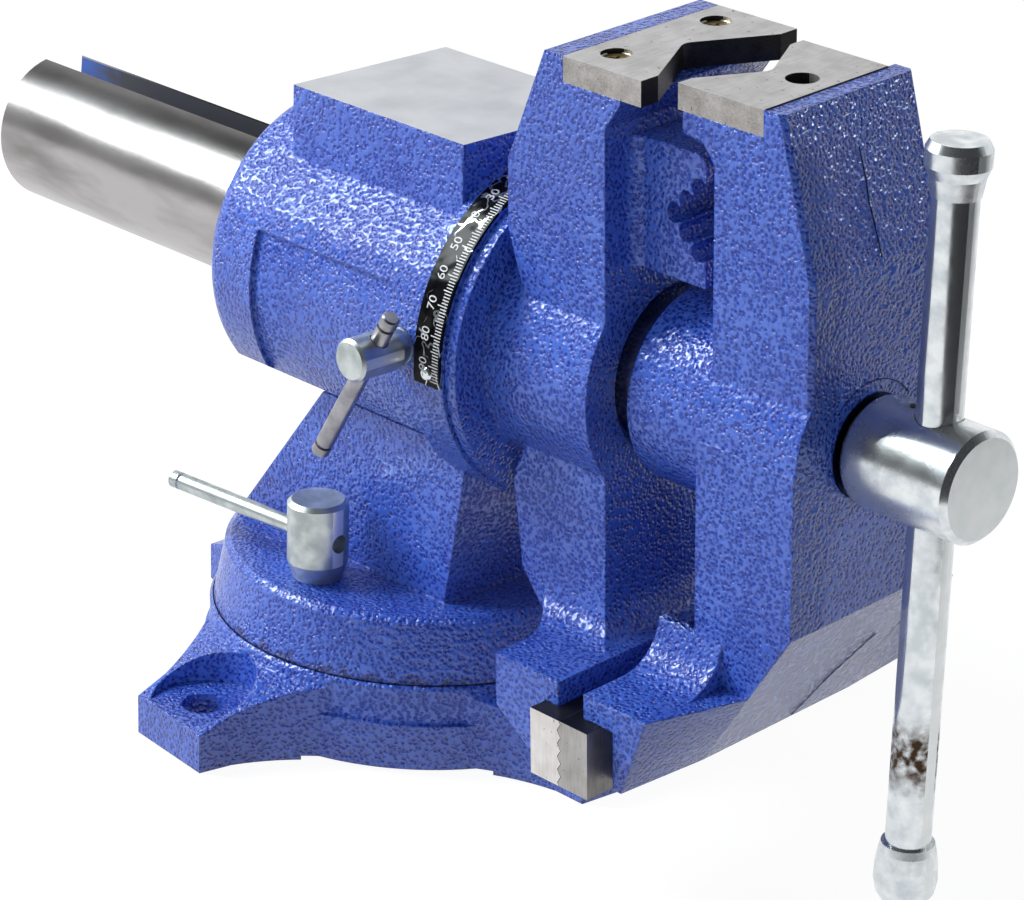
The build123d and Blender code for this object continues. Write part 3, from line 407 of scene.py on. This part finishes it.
def anodised_strip(name):
    """Black anodised aluminium strip: satin, with bare bright creases from being bent round the housing."""
    material, tree, place = new_finish(name)
    ridge = distance_from(tree, grains(tree, place, 7 * MM), 0.5)
    crease = between(tree, ridge, 0.022, 0.008)
    patch = between(tree, grains(tree, place, 12 * MM, 1.0), 0.47, 0.53)
    bare = times(tree, crease, patch)
    shade = tint(tree, bare, "#0B0B0E", "#D5D9DE")
    skin = relief(tree, grains(tree, place, 5 * MM, 1.0), 0.5, 0.9 * MM)
    fed = {"Base Color": shade, "Normal": skin, "Metallic": bare}
    return covered(material, surface(tree, fed, Roughness=0.2, Specular_IOR_Level=0.12))


def printed_marks(name):
    """Pale marks on the strip, slightly uneven."""
    material, tree, place = new_finish(name)
    wear = between(tree, grains(tree, place, 0.8 * MM, 3.0), 0.3, 0.7)
    shade = tint(tree, wear, "#E9EAEC", "#C3C5C9")
    return covered(material, surface(tree, {"Base Color": shade}, Roughness=0.45))


enamel = hammertone_enamel("hammertone_enamel")
enamel_and_anvil = hammertone_enamel("hammertone_enamel_ground_top", ground=ANVIL_LEVEL - 0.2 * MM,
                                     seam=SEAM_LEVEL)
# Face colours below are painted light and shade: the inserts are pale on top and near black on faces turned
# to the handle, the plates near black on top and pale on their sides.
insert_steel = ground_steel("ground_insert_steel", along=(1, 0.05, 1), top=("#E2E0E2", "#CBC8C8"),
                            side=("#BFBBB9", "#97928E"), front=("#3B3938", "#2A2827"))
static_plate_steel = ground_steel("ground_plate_steel", along=(1, 1, 0.05), top=("#3C3A3A", "#2A2827"),
                                  side=("#EFECEB", "#DCD7D4"), front=("#8E8A88", "#6E6964"))
moving_plate_steel = ground_steel("plate_steel_painted_dark_top", along=(1, 1, 0.05), top=("#2E2D2E", "#201F1F"),
                                  side=("#BDBAB8", "#A29E9A"), front=("#8E8B8A", "#747070"))
slide_steel = turned_steel("turned_slide_steel", painted=True)
thread_steel = turned_steel("oiled_thread_steel", "#6E6A66", "#474340")
bright_zinc = zinc_plate("bright_zinc_plate", rough=(0.2, 0.3))
satin_zinc = zinc_plate("satin_zinc_plate", "#D5DCDC", "#B4BCBD", (0.34, 0.46))
grey_zinc = zinc_plate("dull_grey_zinc_plate", "#B3B1B6", "#908E96", (0.28, 0.42))
handle_zinc = zinc_plate("worn_zinc_plate", worn=HANDLE_STAIN)
yellow_zinc = zinc_plate("yellow_passivated_zinc", "#DCC58E", "#A8905C", (0.35, 0.5))
# The thrust washer is coloured dark blue as painted shade, so that it reads as the shaded gap under the
# screw's head.
dark_washer_painted_shade = dull_metal("dark_washer_painted_shade", "#232B4A", "#182038", 0.4)
black_oxide = dull_metal("black_oxide_steel", "#2E2E31", "#1C1B1C", 0.42)
nut_bronze = dull_metal("cast_bronze", "#A98450", "#80623A", 0.38)
strip_black = anodised_strip("black_anodised_strip")
strip_marks = printed_marks("pale_strip_marks")
old_grime = dull_metal("caked_shop_grime", "#1B1511", "#2B211A", 0.75)

finish_of = {
    "base_plate": enamel,
    "swivel_body": enamel_and_anvil,
    "static_jaw": enamel,
    "moving_jaw": enamel,
    "pivot_bolt": black_oxide,
    "pivot_washer": black_oxide,
    "base_lock_nuts": black_oxide,
    "angle_scale": strip_black,
    "scale_rivets": bright_zinc,
    "base_lock_screw_near": satin_zinc,
    "base_lock_bar_near": satin_zinc,
    "base_lock_screw_far": satin_zinc,
    "base_lock_bar_far": satin_zinc,
    "head_lock_screw": satin_zinc,
    "head_lock_bar": grey_zinc,
    "head_lock_shoe": nut_bronze,
    "retaining_ring": black_oxide,
    "retaining_ring_screws": black_oxide,
    "static_v_insert": insert_steel,
    "static_v_screws": yellow_zinc,
    "static_plate": static_plate_steel,
    "static_plate_screws": black_oxide,
    "slide_bar": slide_steel,
    "moving_v_insert": insert_steel,
    "moving_v_screw": black_oxide,
    "moving_plate": moving_plate_steel,
    "moving_plate_screws": black_oxide,
    "lead_nut": nut_bronze,
    "lead_nut_screw": black_oxide,
    "lead_screw": thread_steel,
    "screw_head": bright_zinc,
    "screw_head_pin": black_oxide,
    "thrust_washer": dark_washer_painted_shade,
    "screw_collar": black_oxide,
    "collar_pin": black_oxide,
    "handle_bar": handle_zinc,
    "handle_knobs": bright_zinc,
}


# Pieces

def loft(shape, rings):
    """Join rings of points, all with the same number, into a closed skin with flat ends."""
    rows = [[shape.verts.new(point) for point in ring] for ring in rings]
    shape.faces.new(rows[0])
    for near, far in zip(rows, rows[1:]):
        for i in range(len(near)):
            j = (i + 1) % len(near)
            shape.faces.new((near[i], near[j], far[j], far[i]))
    shape.faces.new(rows[-1][::-1])


def put(name, shape, finish, body):
    """Make a piece of a shape, with its faces turned outwards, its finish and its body."""
    bmesh.ops.recalc_face_normals(shape, faces=shape.faces)
    mesh = bpy.data.meshes.new(name)
    shape.to_mesh(mesh)
    shape.free()
    mesh.materials.append(finish)
    piece = bpy.data.objects.new(name, mesh)
    bpy.context.scene.collection.objects.link(piece)
    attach(piece, body)
    return piece


def in_head(x, y, z):
    """Point given in millimetres from the vise axis, in the rolled head."""
    return Vector((x * MM, (y * cos(HEAD_TURN) - z * sin(HEAD_TURN)) * MM,
                   AXIS_HEIGHT + (y * sin(HEAD_TURN) + z * cos(HEAD_TURN)) * MM))


def dark_line(name, points, width, out, body):
    """Thin dark sliver along points that lie on a face: width across it, out is the face's direction."""
    lift = Vector(out).normalized() * MARK_RISE
    rings = []
    for i, point in enumerate(points):
        ahead = points[min(i + 1, len(points) - 1)] - points[max(i - 1, 0)]
        across = ahead.cross(lift).normalized() * width / 2
        rings.append([point - across - lift, point + across - lift, point + across + lift,
                      point - across + lift])
    line = bmesh.new()
    loft(line, rings)
    put(name, line, old_grime, body)


def age_marks():
    """Grime in the joints, two hairline marks on the moving jaw and the arc above the screw's head."""
    edge = [in_head(INSERT_EDGE_X, y, JAW_TOP_Z) for y in INSERT_EDGE_Y]
    dark_line("insert_joint_grime", edge, 0.9 * MM, UPWARD, "slide")
    front = [in_head(*point) for point in FRONT_HAIRLINE]
    dark_line("front_hairline", front, 0.35 * MM, COLUMN_SLOPE, "slide")
    foot = [in_head(*point) for point in FOOT_HAIRLINE]
    dark_line("foot_hairline", foot, 0.4 * MM, FOOT_SLOPE, "slide")
    arc = []
    for degree in range(-45, 56, 5):
        turn = radians(degree)
        arc.append(in_head(COLUMN_FRONT_X, WASHER_MARK_RADIUS * sin(turn), WASHER_MARK_RADIUS * cos(turn)))
    dark_line("washer_mark", arc, 0.25 * MM, FORWARD, "slide")
    seam = []
    for degree in range(0, 361, 4):
        turn = radians(degree)
        seam.append(Vector((SEAM_RADIUS * cos(turn), SEAM_RADIUS * sin(turn), SEAM_LEVEL)))
    dark_line("swivel_seam_grime", seam, 0.5 * MM, UPWARD, "turntable")


def threaded_screw():
    """The main screw with its trapezoidal thread, in place of the plain cylinder."""
    sides = 24
    steps_per_pitch = 8
    length = SCREW_FRONT - SCREW_REAR
    count = int(length / THREAD_PITCH * steps_per_pitch)
    rings = []
    for i in range(count + 1):
        x = SCREW_REAR + length * i / count
        ring = []
        for k in range(sides):
            phase = (i / steps_per_pitch + k / sides) % 1.0
            sunk = min(1.0, max(0.0, THREAD_STEEPNESS * abs(2 * phase - 1) - THREAD_CREST))
            radius = SCREW_RADIUS - THREAD_DEPTH * sunk
            angle = 2 * pi * k / sides
            ring.append((x, radius * sin(angle), AXIS_HEIGHT + radius * cos(angle)))
        rings.append(ring)
    screw = bmesh.new()
    loft(screw, rings)
    piece = put("lead_screw_thread", screw, thread_steel, "screw")
    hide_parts("lead_screw")


def on_strip(angle, x, out):
    """Point on the angle strip: angle from the top towards the near side, distance out of its face."""
    radius = STRIP_RADIUS + out
    return Vector((x, -radius * sin(angle), AXIS_HEIGHT + radius * cos(angle)))


def tick_length(degree):
    """Long ticks at every ten degrees, middle ones at every five and short ones between them."""
    if degree % 10 == 0:
        return LONG_TICK
    if degree % 5 == 0:
        return MIDDLE_TICK
    return SHORT_TICK


def flat_figure(digits):
    """Mesh of a figure that lies flat at the origin, a hair thick."""
    text = bpy.data.curves.new("figure", "FONT")
    text.body = digits
    text.size = FIGURE_SIZE
    text.align_x = "CENTER"
    text.extrude = PRINT_RISE
    holder = bpy.data.objects.new("figure", text)
    bpy.context.scene.collection.objects.link(holder)
    depsgraph = bpy.context.evaluated_depsgraph_get()
    mesh = bpy.data.meshes.new_from_object(holder.evaluated_get(depsgraph))
    bpy.data.objects.remove(holder)
    return mesh


def strip_figures():
    """Ticks and plain angle figures standing a hair proud of the strip."""
    marks = bmesh.new()
    for degree in range(-95, 96):
        first = radians(degree) - TICK_HALF_WIDTH
        last = radians(degree) + TICK_HALF_WIDTH
        end = TICK_START - tick_length(degree)
        corners = ((first, TICK_START), (last, TICK_START), (last, end), (first, end))
        loft(marks, [[on_strip(*corner, out) for corner in corners] for out in (-PRINT_RISE, PRINT_RISE)])
    for degree in range(-90, 91, 10):
        mesh = flat_figure(str(abs(degree)))
        for vertex in mesh.vertices:
            along, up, out = vertex.co
            vertex.co = on_strip(radians(degree) - along / STRIP_RADIUS, FIGURE_LINE - up, out)
        marks.from_mesh(mesh)
        bpy.data.meshes.remove(mesh)
    put("strip_figures", marks, strip_marks, "turntable")


for node, finish in finish_of.items():
    mesh = nodes[node].data
    mesh.materials.clear()
    mesh.materials.append(finish)

threaded_screw()
strip_figures()
age_marks()


# Stage, light and camera

def floor_finish():
    """White paper that ends in front of the handle. It is white to the camera everywhere and keeps the
    shadow of the vise, and what lies past its edge is dark to the bare metal."""
    material, tree, place = new_finish("white_paper")
    past = between(tree, part_of(tree, place, "X"), PAPER_EDGE, PAPER_EDGE + PAPER_EDGE_BLUR)
    rays = add(tree, "LightPath")
    camera = rays.outputs["Is Camera Ray"]
    bounced = tint(tree, past, "#A8A8AC", "#1A1A1E")
    white = tint(tree, grains(tree, place, 40 * MM), "#F4F4F5", "#FAFAFA")
    paper = add(tree, "BsdfDiffuse", {"Color": tint(tree, camera, bounced, white)}).outputs[0]
    glow = add(tree, "Emission", Strength=1.1).outputs[0]
    mirrored = times(tree, rays.outputs["Is Glossy Ray"], number(tree, "SUBTRACT", 1.0, past))
    share = plus(tree, times(tree, camera, 0.85), times(tree, mirrored, 0.8))
    return covered(material, mixed(tree, share, paper, glow))


def make_floor():
    mesh = bpy.data.meshes.new("floor")
    reach = FLOOR_REACH
    corners = [(-reach, -reach, 0), (reach, -reach, 0), (reach, reach, 0), (-reach, reach, 0)]
    mesh.from_pydata(corners, [], [(0, 1, 2, 3)])
    mesh.materials.append(floor_finish())
    floor = bpy.data.objects.new("floor", mesh)
    bpy.context.scene.collection.objects.link(floor)
    floor.location.z = -FLOOR_GAP


def make_world():
    """The camera sees white all round. The bare metal mirrors a white backdrop behind the vise and a
    dark room elsewhere. The light on the vise comes mostly from the near side."""
    world = bpy.data.worlds.new("studio")
    bpy.context.scene.world = world
    world.use_nodes = True
    tree = world.node_tree
    tree.nodes.clear()
    direction = add(tree, "TexCoord").outputs["Generated"]
    overhead = between(tree, part_of(tree, direction, "Z"), 0.44, 0.64)
    backdrop = between(tree, towards(tree, direction, (-0.7, 0.7, 0)), -0.1, 0.4)
    surround = tint(tree, overhead, "#FFFFFF", "#1E1E22")
    mirrored = tint(tree, backdrop, "#1A1A1E", surround)
    rays = add(tree, "LightPath")
    camera = rays.outputs["Is Camera Ray"]
    glossy = rays.outputs["Is Glossy Ray"]
    seen = tint(tree, camera, tint(tree, glossy, surround, mirrored), "#FFFFFF")
    near_side = between(tree, towards(tree, direction, (-0.35, -0.94, 0)), -1.0, 1.0)
    light = times(tree, near_side, 1.5)
    plain = number(tree, "MAXIMUM", camera, glossy)
    strength = add(tree, "MapRange", {"Value": plain, "To Min": light}).outputs["Result"]
    glow = add(tree, "Background", {"Color": seen, "Strength": strength})
    output = add(tree, "OutputWorld")
    tree.links.new(glow.outputs[0], output.inputs["Surface"])


def softbox(name, direction, distance, width, height, power):
    """Rectangular soft light that looks at the middle of the vise."""
    light = bpy.data.lights.new(name, "AREA")
    light.shape = "RECTANGLE"
    light.size = width
    light.size_y = height
    light.energy = power
    light.color = LAMP_COLOUR
    lamp = bpy.data.objects.new(name, light)
    bpy.context.scene.collection.objects.link(lamp)
    lamp.location = LAMP_TARGET + Vector(direction).normalized() * distance
    lamp.rotation_euler = (LAMP_TARGET - lamp.location).to_track_quat("-Z", "Y").to_euler()


def make_camera():
    """Camera fitted to the photograph's view."""
    data = bpy.data.cameras.new("camera")
    data.lens = CAMERA_LENS
    data.sensor_width = 36.0
    data.sensor_fit = "HORIZONTAL"
    data.clip_start = 0.05
    camera = bpy.data.objects.new("camera", data)
    bpy.context.scene.collection.objects.link(camera)
    turn = Matrix((CAMERA_RIGHT, CAMERA_UP, CAMERA_BACK)).transposed().to_4x4()
    camera.matrix_world = Matrix.Translation(CAMERA_PLACE) @ turn
    bpy.context.scene.camera = camera


make_floor()
make_world()
softbox("key_softbox", direction=(-0.66, -0.42, 0.60), distance=1.1, width=0.42, height=0.6, power=11.5)
softbox("top_softbox", direction=(0.1, 0.5, 0.9), distance=1.4, width=0.5, height=0.5, power=1.5)
softbox("rim_softbox", direction=(0.74, 0.62, 0.26), distance=1.1, width=0.08, height=0.16, power=0.9)
make_camera()
bpy.context.scene.view_settings.view_transform = "Standard"
